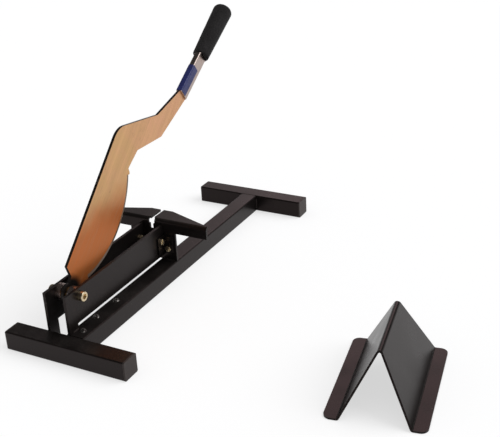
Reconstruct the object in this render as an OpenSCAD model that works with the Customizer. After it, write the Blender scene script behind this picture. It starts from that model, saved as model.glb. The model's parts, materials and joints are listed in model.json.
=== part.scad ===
// Lever cutter for laminate flooring, with its free-standing board support.
// X runs along the feet, Y from the front foot to the rear foot, Z up, in millimetres.
// The origin is on the floor, under the middle of the spine tube.

/* [Base frame] */
// Outer size of the square tube
tube = 32; // [26:0.5:40]
// Wall of the square tube
tube_wall = 2; // [1.5:0.1:3]
// Outer corner radius of the square tube
tube_r = 2.4; // [2.2:0.1:5]
// Length of the base, front face to rear face
base_len = 630; // [560:5:720]
// Length of each cross foot, over its end caps
foot_len = 220; // [180:2:280]
// Plate thickness of an end cap
cap_t = 3; // [2:0.5:5]
// Depth of the end cap's plug inside the tube
cap_plug = 14; // [8:1:24]

/* [Bed] */
// Thickness of the two cheek plates
cheek_t = 5; // [4:0.5:8]
// Clear gap between the cheek plates
cheek_gap = 33; // [29:0.5:40]
// Place of the blade's middle plane, left of the spine's middle
blade_left = 30; // [26:0.5:32]
// Height of the cheeks' top edges, where the board lies
bed_h = 96; // [88:1:110]
// Height of a cheek's arm
arm_h = 55; // [46:0.5:58]
// Length of the bed, front foot to fence
bed_len = 269; // [250:1:300]
// Width of a cheek's front leg
leg_w = 21.5; // [15:0.5:26]
// Reach of the left leg below the top of the front foot
leg_drop = 24; // [12:1:30]

/* [Pivot] */
// Pivot axis behind the front foot
pivot_back = 34; // [30:0.5:40]
// Pivot axis below the bed
pivot_down = 13; // [13:0.5:20]
// Diameter of the pivot bolt
bolt_d = 10; // [8:0.5:11]
// Wall of the sleeve that the bolt clamps between the cheeks
sleeve_wall = 2; // [1.5:0.25:3]
// Wall of the bush in the blade's eye
bush_wall = 3; // [2:0.25:4]
// Length of the bush
bush_len = 12; // [8:0.5:16]
// Wall of the spacer rings beside the bush
ring_wall = 6; // [3:0.5:7]
// Diameter of the pivot bolt's round head
head_d = 16; // [15:0.5:18]
// Height of the pivot bolt's head
head_h = 9; // [8:0.5:11]
// Chamfer round the head's rim
head_rim = 0.8; // [0.4:0.1:1.2]
// Width of the hexagon socket in the head, over its corners
socket_d = 9.2; // [8:0.1:10]
// Depth of the socket
socket_depth = 5; // [4:0.5:6]
// Thickness of the pivot washer
washer_t = 2; // [1.5:0.25:3]
// Diameter of the pivot washer
washer_d = 20; // [19:0.5:26]
// Width of the pivot nut, over its corners
hex_d = 18.5; // [17.5:0.1:21]
// Height of the pivot nut's hexagon
nut_h = 6.5; // [6:0.5:10]
// Height of the round collar on the pivot nut
collar_h = 3.5; // [3:0.25:5]
// Diameter of the collar
collar_d = 14.5; // [14.2:0.1:15.5]
// Wall of the collar round the lock ring
collar_wall = 1.2; // [1:0.1:1.4]
// Radius of the collar's rounded rim
collar_round = 0.8; // [0.5:0.1:0.9]
// Depth of the lock ring below the collar's rim
lock_sunk = 0.6; // [0.3:0.1:1]
// Bolt end showing past the nut
bolt_end = 1.5; // [1:0.5:4]

/* [Blade] */
// Thickness of the blade
blade_t = 5; // [4:0.25:6]
// Radius of the eye at the pivot
eye_r = 16; // [15:0.5:20]
// Radius of the curved cutting edge
belly_r = 155; // [146:1:158]
// Middle of the cutting edge's curve behind the pivot
belly_back = 33; // [26:1:40]
// Middle of the cutting edge's curve above the pivot
belly_up = 155; // [150:1:160]
// Angle below level at which the cutting edge starts, at the heel
heel_angle = 86; // [84:0.5:88]
// Angle below level at which the cutting edge ends
belly_end = 10; // [6:1:14]
// Width of the ground bevel on each side
bevel_w = 7; // [4:0.5:10]
// Thickness left at the cutting edge
edge_t = 0.4; // [0.2:0.1:0.8]
// Step in from the cutting edge to the plain edge beyond it
edge_step = 2; // [1:0.5:3]
// Rise of that step
step_rise = 6.8; // [5:0.2:9]
// Slope of the straight back
back_angle = 44.8; // [42:0.2:47]
// Distance from the pivot to the line of the back
back_off = 29; // [26:0.5:32]
// Length along the back, from the pivot's foot to the shoulder
back_len = 268; // [260:1:276]
// Length along the back, from the pivot's foot to its lower corner
nose_len = 32.2; // [30:0.2:36]
// Notch between the eye and that corner: reach back from the corner
notch_back = 6.7; // [5:0.1:8]
// Notch between the eye and that corner: depth below the corner
notch_down = 19.2; // [17:0.2:21]
// Radius of the shoulder
shoulder_r = 34; // [20:1:44]
// Level length of the neck's top edge
neck_len = 112; // [104:1:122]
// Fall of the neck's top edge
neck_fall = 8; // [6:0.5:10]
// Depth of the neck at its deep end
neck_depth = 48; // [44:0.5:52]
// Depth of the neck at its bend
bend_depth = 40; // [36:0.5:44]
// Reach of the bend's lower corner past its upper corner
bend_back = 4; // [2:0.5:6]
// Level length from the shoulder to the neck's deep end
relief_len = 44; // [38:1:52]
// Level length of the rising stretch before the handle
rise_len = 74; // [66:1:82]
// Slope of the rising stretch
rise_angle = 15; // [12:0.5:17]
// Depth of the blade where the handle starts
tang_depth = 25; // [24:0.5:28]

/* [Handle] */
// Slope of the handle with the blade as photographed
handle_angle = 34; // [30:0.5:38]
// Depth of the flat handle tube
shank_h = 25.2; // [24:0.2:26]
// Wall of the handle tube
shank_wall = 3; // [2:0.1:3.4]
// Radius of the handle tube's long edges
shank_r = 2.5; // [1:0.1:3]
// Length of the handle tube
shank_len = 193; // [180:1:205]
// Length of the tang inside the tube
tang_len = 74; // [62:1:84]
// Clearance between the tang and the tube
tang_clear = 0.2; // [0.1:0.05:0.4]
// Diameter of the rivets through tube and tang
rivet_d = 6; // [4:0.5:8]
// Distance between the two rivets
rivet_pitch = 30; // [24:1:34]
// Length of the coloured band
band_len = 57; // [48:1:64]
// Thickness of the coloured band
band_t = 0.6; // [0.4:0.1:1]
// Reach of the band down the tube's sides, from its upper edge
band_drop = 16; // [12:0.5:18]
// Diameter of the foam grip at its open end
grip_d = 30; // [29:0.5:32]
// Diameter of the foam grip at its closed end
grip_end_d = 35.5; // [33:0.5:38]
// Length of the foam grip
grip_len = 114; // [104:1:120]
// Radius of the grip's rounded end
grip_round = 9; // [5:0.5:11]
// Radius of the grip's edge towards the blade
grip_lip = 2.5; // [1.5:0.25:3]
// Foam between the tube's end and the grip's end
grip_cover = 9; // [8:0.5:14]

/* [Fence] */
// Thickness of the fence plate
fence_t = 4; // [3:0.5:5]
// Outer radius of the fence's bend
fence_bend = 6.5; // [6:0.25:8]
// Height of the fence's top above the bed
fence_up = 10; // [8:0.5:16]
// Depth of the fence's top, front to rear
fence_depth = 37; // [30:1:46]
// Width of the fence at the board
fence_front_w = 217; // [190:1:240]
// Width of the fence's straight rear edge
fence_rear_w = 43; // [32:1:60]
// Height of the fence's upper part that meets the board
fence_face = 22; // [20:0.5:26]
// Room beside the blade in its slot
slot_clear = 0.8; // [0.6:0.1:1.4]
// Width of the slot's flared mouth
mouth_w = 12; // [10:0.5:14]
// Depth of the slot below the bed
slot_down = 10; // [9:0.5:11]
// Leg of the angle brackets behind the cheeks
bracket_w = 20; // [18:0.5:24]
// Thickness of the angle brackets
bracket_t = 3; // [2:0.5:4]
// Height of the angle brackets
bracket_h = 30; // [26:1:36]
// Height of the brackets' middle above the spine
bracket_up = 31; // [28:0.5:36]
// Height of the bracket bolts above and below the bracket's middle
bolt_step = 7.5; // [7:0.25:8.5]
// Width of the fence's web past the left bracket
web_margin = 2; // [1:0.5:6]

/* [Small fasteners] */
// Diameter of the bracket bolts
small_d = 6; // [5:0.5:7]
// Height of the bracket bolts' heads and nuts
small_head_h = 4; // [3:0.5:5]
// Width of the bracket bolts' heads and nuts, over their corners
small_hex = 11.4; // [10.5:0.1:12.5]
// Diameter of the spine screws' heads
screw_head_d = 11; // [9:0.5:13]
// Height of the spine screws' heads
screw_head_h = 3.5; // [2.5:0.25:5]
// Length of the spine screws below their heads
screw_len = 12; // [8:1:20]
// Length of each arm pair of the cross recess in a spine screw
recess_len = 5.6; // [4:0.2:7]
// Width of the cross recess
recess_w = 1.2; // [0.8:0.1:1.6]
// Depth of the cross recess
recess_depth = 1.8; // [1:0.1:2.2]
// Distance of the first spine screw behind the front foot
first_screw = 18; // [12:1:26]
// Distance of the second spine screw behind the front foot
second_screw = 60; // [50:1:75]
// Distance of the third spine screw behind the front foot
third_screw = 114; // [100:1:130]
// Place of the first spine screw, right of the spine's middle
first_right = 2; // [1:0.5:6]
// Place of the other two spine screws, left of the spine's middle
others_left = 4; // [0:0.5:6]

/* [Board support] */
// Height of the support's ridge
stand_h = 96; // [88:1:110]
// Sheet thickness of the support
stand_t = 3; // [2:0.25:4]
// Inner radius of the support's folds
stand_bend = 2; // [1:0.25:4]
// Distance between the two lower folds
stand_span = 104; // [90:1:120]
// Width of the flat flanges on the floor
stand_flange = 19; // [16:0.5:26]
// Length of the support along its ridge direction
stand_len = 204; // [180:1:230]
// Set-back of the ridge's ends from the flanges' ends
stand_lean = 36; // [24:1:46]
// Radius of the flanges' corners
stand_corner = 11; // [6:0.5:14]
// Distance from the spine's middle to the support's middle
stand_x = 455; // [440:5:520]
// Distance from the base's front face to the support's middle
stand_y = 149; // [130:1:170]
// Turn of the support, seen from above
stand_turn = 9.5; // [0:0.5:15]

/* [Hidden] */
$fn = 72;

// Radial clearances: bush on its sleeve, bolts in their holes
run_clear = 0.05;
hole_clear = 0.1;
// Clearance beside the bush, and how far a cut runs past a face
side_clear = 0.25;
over = 1;
// Steps of an arc that is drawn as points: a bend, an eye, a long cutting edge
bend_steps = 8;
eye_steps = 24;
edge_steps = 32;
// Chamfer of hexagon heads and nuts: its slope, and its reach in from the flats
hex_slope = 30;
hex_land = 0.3;

// Points on an arc about c, from angle a to angle b in n steps
function arc(c, r, a, b, n) = [
    for (i = [0:n]) c + r * [cos(a + (b - a) * i / n), sin(a + (b - a) * i / n)]
];

// Base frame
front_y = -base_len / 2;
foot_back_y = front_y + tube;
rear_foot_y = base_len / 2 - tube;
paint = "#26262a";
zinc = "#c9bd9c";
steel = "#8f9296";

// Cheeks and pivot
blade_x = -blade_left;
left_in_x = blade_x - cheek_gap / 2;
right_in_x = blade_x + cheek_gap / 2;
left_out_x = left_in_x - cheek_t;
right_out_x = right_in_x + cheek_t;
arm_bottom = bed_h - arm_h;
fence_y = foot_back_y + bed_len;
pivot_y = foot_back_y + pivot_back;
pivot_z = bed_h - pivot_down;
sleeve_d = bolt_d + 2 * (hole_clear + sleeve_wall);
bush_bore = sleeve_d + 2 * run_clear;
bush_d = bush_bore + 2 * bush_wall;
ring_d = sleeve_d + 2 * ring_wall;
collar_out = washer_t + nut_h;
lock_d = collar_d - 2 * collar_wall;
plastic = "#1c1c1e";

// Blade outline, measured from the pivot in the blade's plane
back_dir = [cos(back_angle), sin(back_angle)];
back_foot = [-back_off * sin(back_angle), back_off * cos(back_angle)];
belly = [belly_back, belly_up];
edge_end = belly + belly_r * [cos(belly_end), -sin(belly_end)];
plain_start = edge_end + [-edge_step, step_rise];
shoulder = back_foot + back_len * back_dir;
neck_end = shoulder + neck_len * [1, -tan(neck_fall)];
tang_top = neck_end + rise_len * [1, tan(rise_angle)];
handle_dir = [cos(handle_angle), sin(handle_angle)];
handle_up = [-sin(handle_angle), cos(handle_angle)];
handle_start = tang_top - tang_depth / 2 * handle_up;
tang_bottom = tang_top - tang_depth * handle_up;
relief = shoulder + [relief_len, -relief_len * tan(neck_fall) - neck_depth];
elbow = neck_end + [bend_back, -bend_depth];
// Notch between the eye and the back's lower corner
nose = back_foot + nose_len * back_dir;
notch = nose + [notch_back, -notch_down];
// Stretch of the eye's circle that is on the outline
eye_from = 80;
eye_to = 300;
// Angle left plain at each end of the ground bevel
run_out = 1.5;
// Middle of the shoulder's arc, on the line that halves the corner
shoulder_half = 90 - (back_angle + neck_fall) / 2;
corner_dir = 270 + (back_angle - neck_fall) / 2;
shoulder_mid = shoulder + shoulder_r / sin(shoulder_half) * [cos(corner_dir), sin(corner_dir)];

// Handle cross section
shank_w = blade_t + 2 * (tang_clear + shank_wall);
tang_h = shank_h - 2 * (shank_wall + tang_clear);
grip_start = shank_len + grip_cover - grip_len;
tang_edge = tang_h / 2 * handle_up;
tang_end = handle_start + tang_len * handle_dir;
// From the eye round the cutting edge to the tang, and back along the top
blade_outline = concat(
    arc([0, 0], eye_r, eye_from, eye_to, eye_steps),
    arc(belly, belly_r, -heel_angle, -belly_end, edge_steps),
    [plain_start, relief, elbow, tang_bottom],
    [handle_start - tang_edge, tang_end - tang_edge, tang_end + tang_edge, handle_start + tang_edge],
    [tang_top, neck_end],
    arc(shoulder_mid, shoulder_r, 90 - neck_fall, 90 + back_angle, bend_steps),
    [nose, notch]
);
// Places of the rivets along the handle
rivet_places = [(tang_len - rivet_pitch) / 2, (tang_len + rivet_pitch) / 2];

// Fence
fence_top = bed_h + fence_up;
slot_w = blade_t + 2 * slot_clear;
bracket_z = tube + bracket_up;
web_left = left_out_x - bracket_w - web_margin;
// Distance of the bracket bolts from the bracket's corner
web_bolt_off = bracket_w / 2 + bracket_t / 2;

// Spine screws: distance right of the spine's middle, and behind the front foot
spine_screw_places = [
    [first_right, first_screw], [-others_left, second_screw], [-others_left, third_screw]
];

// Flat pieces in the YZ plane: a drawing of (y, z) becomes a plate from x, t thick
module yz_plate(x, t) {
    translate([x, 0, 0]) rotate([90, 0, 90]) linear_extrude(t) children();
}

// The pivot's place, with the drawing's own axes along Y and Z
module at_pivot() {
    translate([pivot_y, pivot_z]) children();
}

// A round bar along X
module x_bar(x, d, len) {
    translate([x, 0, 0]) rotate([0, 90, 0]) cylinder(d = d, h = len);
}

// A hexagon block along Z from zero, with both ends chamfered
module hex_block(d, h) {
    end_r = d / 2 * cos(180 / 6) - hex_land;
    intersection() {
        cylinder(d = d, h = h, $fn = 6);
        rotate_extrude()
            polygon([[0, 0], [end_r, 0], [end_r + h / 2 / tan(hex_slope), h / 2], [end_r, h], [0, h]]);
    }
}

// A hexagon block along X
module x_hex(x, d, len) {
    translate([x, 0, 0]) rotate([0, 90, 0]) hex_block(d, len);
}

// A ring along X
module x_ring(x, d, bore, len) {
    difference() {
        x_bar(x, d, len);
        x_bar(x - over, bore, len + 2 * over);
    }
}

// Rectangle with true round corners, centred
module round_rect(w, h, r) {
    square([w - 2 * r, h], center = true);
    square([w, h - 2 * r], center = true);
    for (sx = [-1, 1], sy = [-1, 1])
        translate([sx * (w / 2 - r), sy * (h / 2 - r)]) circle(r);
}

// Outer and inner outline of the square tube
module tube_outline() {
    round_rect(tube, tube, tube_r);
}

module tube_bore() {
    round_rect(tube - 2 * tube_wall, tube - 2 * tube_wall, tube_r - tube_wall);
}

// Square tube along Z, from zero
module square_tube(len) {
    linear_extrude(len) difference() {
        tube_outline();
        tube_bore();
    }
}

// A foot tube along X, without its end caps
module foot(y) {
    len = foot_len - 2 * cap_t;
    translate([-len / 2, y + tube / 2, tube / 2]) rotate([0, 90, 0]) square_tube(len);
}

// Plastic cap with its plug, closing a tube's end, facing +X
module end_cap() {
    rotate([0, 90, 0]) {
        linear_extrude(cap_t) tube_outline();
        translate([0, 0, -cap_plug]) linear_extrude(cap_plug) tube_bore();
    }
}

module front_foot() {
    color(paint) foot(front_y);
}

module rear_foot() {
    color(paint) foot(rear_foot_y);
}

module spine() {
    color(paint) difference() {
        translate([0, rear_foot_y, tube / 2]) rotate([90, 0, 0]) square_tube(rear_foot_y - foot_back_y);
        for (p = spine_screw_places)
            translate([p[0], foot_back_y + p[1], tube - tube_wall - over])
                cylinder(d = small_d, h = tube_wall + 2 * over);
    }
}

module foot_end_caps() {
    color(plastic)
        for (y = [front_y, rear_foot_y], side = [0, 1])
            mirror([side, 0, 0])
                translate([foot_len / 2 - cap_t, y + tube / 2, tube / 2]) end_cap();
}

// Pan-head screw pointing down from the top of the spine
module pan_screw() {
    head_r = screw_head_d / 2;
    cap_r = (head_r * head_r + screw_head_h * screw_head_h) / (2 * screw_head_h);
    difference() {
        intersection() {
            translate([0, 0, screw_head_h - cap_r]) sphere(cap_r);
            cylinder(d = screw_head_d, h = screw_head_h);
        }
        for (size = [[recess_len, recess_w], [recess_w, recess_len]])
            translate([-size[0] / 2, -size[1] / 2, screw_head_h - recess_depth])
                cube([size[0], size[1], recess_depth + over]);
    }
    translate([0, 0, -screw_len]) cylinder(d = small_d, h = screw_len);
}

module spine_screws() {
    color(zinc)
        for (p = spine_screw_places)
            translate([p[0], foot_back_y + p[1], tube]) pan_screw();
}

// Drawing of a cheek plate: a front leg down to leg_z and a long arm
module cheek_drawing(leg_z) {
    difference() {
        union() {
            translate([foot_back_y, arm_bottom]) square([bed_len, arm_h]);
            translate([foot_back_y, leg_z]) square([leg_w, arm_bottom - leg_z]);
        }
        at_pivot() circle(d = bolt_d + 2 * hole_clear);
        translate([fence_y - web_bolt_off, bracket_z + bolt_step]) circle(d = small_d + 2 * hole_clear);
    }
}

module left_cheek() {
    color(paint) yz_plate(left_out_x, cheek_t) cheek_drawing(tube - leg_drop);
}

module right_cheek() {
    color(paint) yz_plate(right_in_x, cheek_t) cheek_drawing(tube);
}

// End view of the fence's bent sheet: web, bend and top
module fence_section() {
    bend_mid = [fence_y + fence_bend, fence_top - fence_bend];
    rear = fence_y + fence_depth;
    polygon(concat(
        [[fence_y + fence_t, tube], [fence_y, tube]],
        arc(bend_mid, fence_bend, 180, 90, bend_steps),
        [[rear, fence_top], [rear, fence_top - fence_t]],
        arc(bend_mid, fence_bend - fence_t, 90, 180, bend_steps)
    ));
}

module fence() {
    half = fence_front_w / 2;
    rear_half = fence_rear_w / 2;
    face_bottom = fence_top - fence_face;
    color(paint) difference() {
        intersection() {
            yz_plate(blade_x - half - over, fence_front_w + 2 * over) fence_section();
            // Seen from above, drawn in to the straight rear edge
            translate([blade_x, fence_y, 0]) linear_extrude(fence_top + over)
                polygon([
                    [-half, -over], [half, -over], [half, fence_bend],
                    [rear_half, fence_depth], [rear_half, fence_depth + over],
                    [-rear_half, fence_depth + over], [-rear_half, fence_depth], [-half, fence_bend]
                ]);
            // Seen from the front, a wide face above the web that stands on the spine
            translate([blade_x, fence_y + fence_depth + 2 * over, 0]) rotate([90, 0, 0])
                linear_extrude(fence_depth + 3 * over) polygon([
                    [web_left - blade_x, 0], [tube / 2 - blade_x, 0], [tube / 2 - blade_x, face_bottom],
                    [half + over, face_bottom], [half + over, fence_top + over],
                    [-half - over, fence_top + over], [-half - over, face_bottom],
                    [web_left - blade_x, face_bottom]
                ]);
        }
        // Slot for the blade, with a flared mouth
        translate([blade_x - slot_w / 2, fence_y - over, bed_h - slot_down])
            cube([slot_w, fence_depth + 2 * over, slot_down + fence_up + over]);
        translate([blade_x - mouth_w / 2, fence_y - over, bed_h])
            cube([mouth_w, fence_bend + over, fence_up + over]);
        for (x = [left_out_x - web_bolt_off, right_out_x + web_bolt_off])
            translate([x, fence_y - over, bracket_z - bolt_step]) rotate([-90, 0, 0])
                cylinder(d = small_d + 2 * hole_clear, h = fence_t + 2 * over);
    }
}

// Angle bracket in the corner of a cheek's outer face and the fence's web, open towards +X
module angle_bracket() {
    difference() {
        translate([0, -bracket_w, -bracket_h / 2]) linear_extrude(bracket_h)
            polygon([
                [0, 0], [bracket_t, 0], [bracket_t, bracket_w - bracket_t],
                [bracket_w, bracket_w - bracket_t], [bracket_w, bracket_w], [0, bracket_w]
            ]);
        translate([-over, -web_bolt_off, bolt_step]) rotate([0, 90, 0])
            cylinder(d = small_d + 2 * hole_clear, h = bracket_t + 2 * over);
        translate([web_bolt_off, over, -bolt_step]) rotate([90, 0, 0])
            cylinder(d = small_d + 2 * hole_clear, h = bracket_t + 2 * over);
    }
}

module right_bracket() {
    color(paint) translate([right_out_x, fence_y, bracket_z]) angle_bracket();
}

module left_bracket() {
    color(paint) translate([left_out_x, fence_y, bracket_z]) mirror([1, 0, 0]) angle_bracket();
}

// Bolt with its head below zero and its shank up through the grip
module small_bolt(grip) {
    translate([0, 0, -small_head_h]) hex_block(small_hex, small_head_h);
    cylinder(d = small_d, h = grip + small_head_h + over);
}

module small_nut(grip) {
    translate([0, 0, grip]) difference() {
        hex_block(small_hex, small_head_h);
        translate([0, 0, -over]) cylinder(d = small_d, h = small_head_h + 2 * over);
    }
}

module bracket_bolts() {
    color(zinc)
        for (side = [0, 1])
            translate([blade_x, fence_y, bracket_z]) mirror([side, 0, 0]) {
                translate([cheek_gap / 2, -web_bolt_off, bolt_step]) rotate([0, 90, 0])
                    small_bolt(cheek_t + bracket_t);
                translate([cheek_gap / 2 + cheek_t + web_bolt_off, fence_t, -bolt_step]) rotate([90, 0, 0])
                    small_bolt(fence_t + bracket_t);
            }
}

module bracket_nuts() {
    color(zinc)
        for (side = [0, 1])
            translate([blade_x, fence_y, bracket_z]) mirror([side, 0, 0]) {
                translate([cheek_gap / 2, -web_bolt_off, bolt_step]) rotate([0, 90, 0])
                    small_nut(cheek_t + bracket_t);
                translate([cheek_gap / 2 + cheek_t + web_bolt_off, fence_t, -bolt_step]) rotate([90, 0, 0])
                    small_nut(fence_t + bracket_t);
            }
}

// Everything on the pivot axis is drawn at its own X, on the axis
module on_pivot_axis() {
    translate([0, pivot_y, pivot_z]) children();
}

// What the left cheek carries is drawn outwards from the cheek's face
module outside_left() {
    on_pivot_axis() translate([left_out_x, 0, 0]) mirror([1, 0, 0]) children();
}

// Half outline of the pivot bolt's head
module head_profile() {
    r = head_d / 2;
    polygon([[0, 0], [r, 0], [r, head_h - head_rim], [r - head_rim, head_h], [0, head_h]]);
}

module pivot_bolt() {
    tip_x = left_out_x - collar_out - collar_h - bolt_end;
    color(zinc) on_pivot_axis() {
        x_bar(tip_x, bolt_d, right_out_x - tip_x);
        translate([right_out_x, 0, 0]) rotate([0, 90, 0]) difference() {
            rotate_extrude() head_profile();
            translate([0, 0, head_h - socket_depth])
                cylinder(d = socket_d, h = socket_depth + over, $fn = 6);
        }
    }
}

// Half outline of the nut's collar, from inside the hexagon to the rounded rim
module collar_profile() {
    r = collar_d / 2;
    len = over + collar_h;
    polygon(concat(
        [[0, 0], [r, 0]],
        arc([r - collar_round, len - collar_round], collar_round, 0, 90, bend_steps),
        [[0, len]]
    ));
}

module pivot_nut() {
    color(zinc) outside_left() difference() {
        union() {
            x_hex(washer_t, hex_d, nut_h);
            translate([collar_out - over, 0, 0]) rotate([0, 90, 0]) rotate_extrude() collar_profile();
        }
        x_bar(washer_t - over, bolt_d, nut_h + 2 * over);
        x_bar(collar_out, lock_d, collar_h + over);
    }
}

module lock_ring() {
    color(plastic) outside_left() x_ring(collar_out, lock_d, bolt_d, collar_h - lock_sunk);
}

module pivot_washer() {
    color(zinc) outside_left() x_ring(0, washer_d, bolt_d + 2 * hole_clear, washer_t);
}

module pivot_sleeve() {
    color(steel) on_pivot_axis() x_ring(left_in_x, sleeve_d, bolt_d + 2 * hole_clear, cheek_gap);
}

module spacer_rings() {
    len = (cheek_gap - bush_len) / 2 - side_clear;
    color(steel) on_pivot_axis()
        for (x = [left_in_x, right_in_x - len])
            x_ring(x, ring_d, sleeve_d, len);
}

module blade_bush() {
    color("#b08d57") on_pivot_axis() x_ring(blade_x - bush_len / 2, bush_d, bush_bore, bush_len);
}

// Ground bevel along the cutting edge, as the ring that is taken off one side
module bevel_ring(side) {
    half = blade_t / 2;
    edge = edge_t / 2;
    slope = (half - edge) / bevel_w;
    sweep = heel_angle - belly_end - 2 * run_out;
    translate([blade_x, pivot_y + belly_back, pivot_z + belly_up]) rotate([90, 0, 90])
        rotate([0, 0, run_out - heel_angle]) rotate_extrude(angle = sweep)
            polygon([
                [belly_r - bevel_w - over / slope, side * (half + over)],
                [belly_r + over, side * (edge - slope * over)],
                [belly_r + over, side * (half + over)]
            ]);
}

module blade() {
    side_x = blade_x - blade_t / 2;
    color("#b79a73") difference() {
        yz_plate(side_x, blade_t) at_pivot() polygon(blade_outline);
        on_pivot_axis() x_bar(side_x - over, bush_d, blade_t + 2 * over);
        in_handle()
            for (s = rivet_places)
                translate([s, 0, -blade_t]) cylinder(d = rivet_d, h = 2 * blade_t);
        bevel_ring(1);
        bevel_ring(-1);
    }
}

// The handle's own frame: X along the handle from its start, Y up in the blade's plane, Z along X
module in_handle() {
    translate([blade_x, pivot_y + handle_start[0], pivot_z + handle_start[1]])
        rotate([90, 0, 90]) rotate([0, 0, handle_angle]) children();
}

// A drawing across the handle, Y up and Z sideways, drawn out along it
module along_handle(start, len) {
    translate([start, 0, 0]) rotate([90, 0, 90]) linear_extrude(len) children();
}

module shank_outline() {
    round_rect(shank_h, shank_w, shank_r);
}

module handle_tube() {
    color(steel) in_handle() difference() {
        along_handle(0, shank_len) shank_outline();
        along_handle(-over, shank_len + 2 * over)
            square([shank_h - 2 * shank_wall, blade_t + 2 * tang_clear], center = true);
        for (s = rivet_places)
            translate([s, 0, -shank_w]) cylinder(d = rivet_d, h = 2 * shank_w);
    }
}

module handle_rivets() {
    color(steel) in_handle()
        for (s = rivet_places)
            translate([s, 0, -shank_w / 2]) cylinder(d = rivet_d, h = shank_w);
}

module label_band() {
    color("#2b4fb0") in_handle() along_handle(over, band_len) difference() {
        round_rect(shank_h + 2 * band_t, shank_w + 2 * band_t, shank_r + band_t);
        shank_outline();
        translate([-shank_h / 2 - over, -shank_w]) square([shank_h - band_drop + over, 2 * shank_w]);
    }
}

// Half outline of the grip, turned about the handle's axis
module grip_profile() {
    mouth_r = grip_d / 2;
    end_r = grip_end_d / 2;
    polygon(concat(
        [[0, 0]],
        arc([mouth_r - grip_lip, grip_lip], grip_lip, -90, 0, bend_steps),
        arc([end_r - grip_round, grip_len - grip_round], grip_round, 0, 90, bend_steps),
        [[0, grip_len]]
    ));
}

module grip() {
    color("#202022") in_handle() difference() {
        translate([grip_start, 0, 0]) rotate([0, 90, 0]) rotate_extrude() grip_profile();
        along_handle(grip_start - over, shank_len - grip_start + over) shank_outline();
    }
}

// Cross section of the support's bent sheet: flange, slope, ridge, slope, flange
module stand_section() {
    half = stand_span / 2;
    out_r = stand_bend + stand_t;
    ridge_mid = [0, stand_h - out_r];
    fold_mid = [half, out_r];
    rise = ridge_mid[1] - out_r;
    slope = atan2(rise, half) + asin((out_r + stand_bend) / norm([half, rise]));
    far = half + stand_flange;
    polygon(concat(
        [[-far, 0]],
        arc([-half, out_r], out_r, 270, 270 + slope, bend_steps),
        arc(ridge_mid, stand_bend, 90 + slope, 90 - slope, bend_steps),
        arc(fold_mid, out_r, 270 - slope, 270, bend_steps),
        [[far, 0], [far, stand_t]],
        arc(fold_mid, stand_bend, 270, 270 - slope, bend_steps),
        arc(ridge_mid, out_r, 90 - slope, 90 + slope, bend_steps),
        arc([-half, out_r], stand_bend, 270 + slope, 270, bend_steps),
        [[-far, stand_t]]
    ));
}

module board_support() {
    width = stand_span + 2 * stand_flange;
    half_len = stand_len / 2;
    // Half length at one cut's reach above the ridge
    top_len = half_len - stand_lean * (stand_h + over - stand_t) / (stand_h - stand_t);
    color(paint) translate([stand_x, front_y + stand_y, 0]) rotate([0, 0, stand_turn]) intersection() {
        translate([0, half_len + over, 0]) rotate([90, 0, 0])
            linear_extrude(stand_len + 2 * over) stand_section();
        // Seen from the side, with leaning ends
        yz_plate(-width / 2 - over, width + 2 * over)
            polygon([
                [-half_len - over, -over], [half_len + over, -over], [half_len + over, stand_t],
                [half_len, stand_t], [top_len, stand_h + over], [-top_len, stand_h + over],
                [-half_len, stand_t], [-half_len - over, stand_t]
            ]);
        // Seen from above, with rounded flange corners
        translate([0, 0, -over]) linear_extrude(stand_h + 2 * over)
            round_rect(width, stand_len, stand_corner);
    }
}

front_foot();
rear_foot();
spine();
foot_end_caps();
spine_screws();
left_cheek();
right_cheek();
fence();
left_bracket();
right_bracket();
bracket_bolts();
bracket_nuts();
pivot_bolt();
pivot_nut();
lock_ring();
pivot_washer();
pivot_sleeve();
spacer_rings();
blade();
blade_bush();
handle_tube();
handle_rivets();
label_band();
grip();
board_support();
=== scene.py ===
"""Looks of a lever cutter for laminate flooring: finishes, welds, foam grip and a plain studio stage."""

import json
import math

import bmesh
import bpy
from bpy.props import FloatProperty, FloatVectorProperty, IntProperty, PointerProperty
from bpy.types import Operator, Panel, PropertyGroup
from mathutils import Matrix, Vector, noise

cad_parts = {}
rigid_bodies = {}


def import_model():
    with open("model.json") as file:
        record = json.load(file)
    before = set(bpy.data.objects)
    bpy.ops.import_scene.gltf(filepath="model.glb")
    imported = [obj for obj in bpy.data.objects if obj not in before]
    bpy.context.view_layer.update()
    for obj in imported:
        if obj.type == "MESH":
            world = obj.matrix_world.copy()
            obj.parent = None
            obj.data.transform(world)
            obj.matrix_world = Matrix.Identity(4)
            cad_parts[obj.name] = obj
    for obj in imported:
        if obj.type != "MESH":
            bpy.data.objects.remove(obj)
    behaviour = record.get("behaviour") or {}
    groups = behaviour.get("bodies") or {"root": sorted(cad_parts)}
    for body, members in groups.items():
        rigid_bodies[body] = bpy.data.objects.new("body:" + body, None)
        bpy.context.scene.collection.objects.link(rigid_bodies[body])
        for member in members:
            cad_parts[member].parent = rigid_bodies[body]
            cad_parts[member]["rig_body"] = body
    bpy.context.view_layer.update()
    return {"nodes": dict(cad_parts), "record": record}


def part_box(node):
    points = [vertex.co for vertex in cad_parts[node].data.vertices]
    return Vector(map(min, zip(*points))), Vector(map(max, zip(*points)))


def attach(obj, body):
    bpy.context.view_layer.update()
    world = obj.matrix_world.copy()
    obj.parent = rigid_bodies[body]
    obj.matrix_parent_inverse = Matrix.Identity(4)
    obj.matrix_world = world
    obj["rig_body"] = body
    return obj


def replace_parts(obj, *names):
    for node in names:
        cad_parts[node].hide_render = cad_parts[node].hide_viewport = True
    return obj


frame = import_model()

bl_info = {
    "name": "Flooring Cutter",
    "version": (1, 0, 0),
    "blender": (4, 5, 0),
    "location": "3D View > Sidebar > Cutter",
    "description": "Dresses the flooring cutter's packed solids and sets up its stage",
    "category": "Object",
}

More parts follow.
